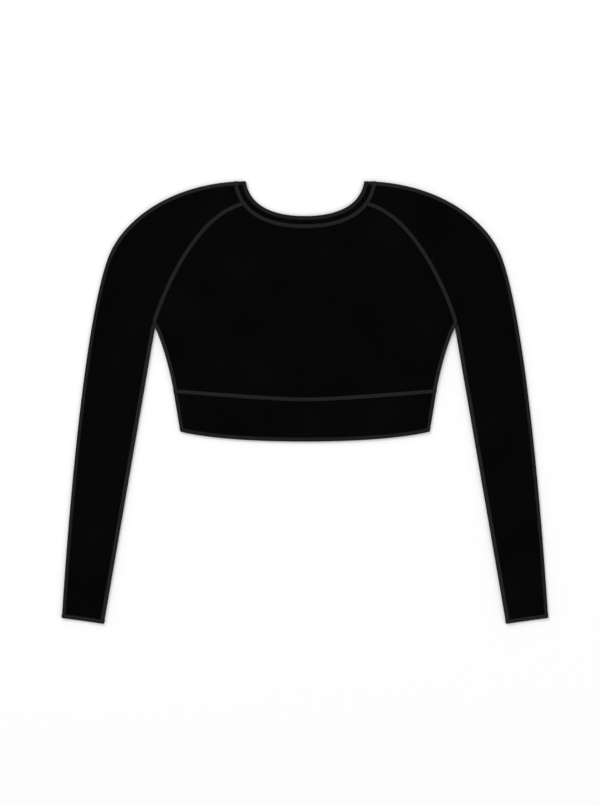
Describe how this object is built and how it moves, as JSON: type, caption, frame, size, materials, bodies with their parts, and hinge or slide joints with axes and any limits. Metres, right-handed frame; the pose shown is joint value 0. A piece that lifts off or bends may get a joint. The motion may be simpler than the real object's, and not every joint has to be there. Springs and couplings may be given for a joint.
{
  "type": "crop top",
  "caption": "Cropped long-sleeved jersey top with raglan sleeves, scoop neckband and hem band, laid flat with its front up.",
  "frame": {"origin": "on the surface the garment lies on, under the middle of its width and its length", "axes": "+X across it to the wearer's left sleeve, +Y up to the neck, +Z off the surface and out of the front"},
  "size_m": [0.6488, 0.5906, 0.004],
  "materials": {
    "jersey": "matt black stretch jersey",
    "band": "the same jersey, folded double",
    "thread": "matt charcoal sewing thread"
  },
  "bodies": {
    "root": {"front": "jersey", "back": "jersey", "sleeve_left": "jersey", "sleeve_right": "jersey", "neckband": "band", "hem_band": "band"}
  },
  "joints": []
}
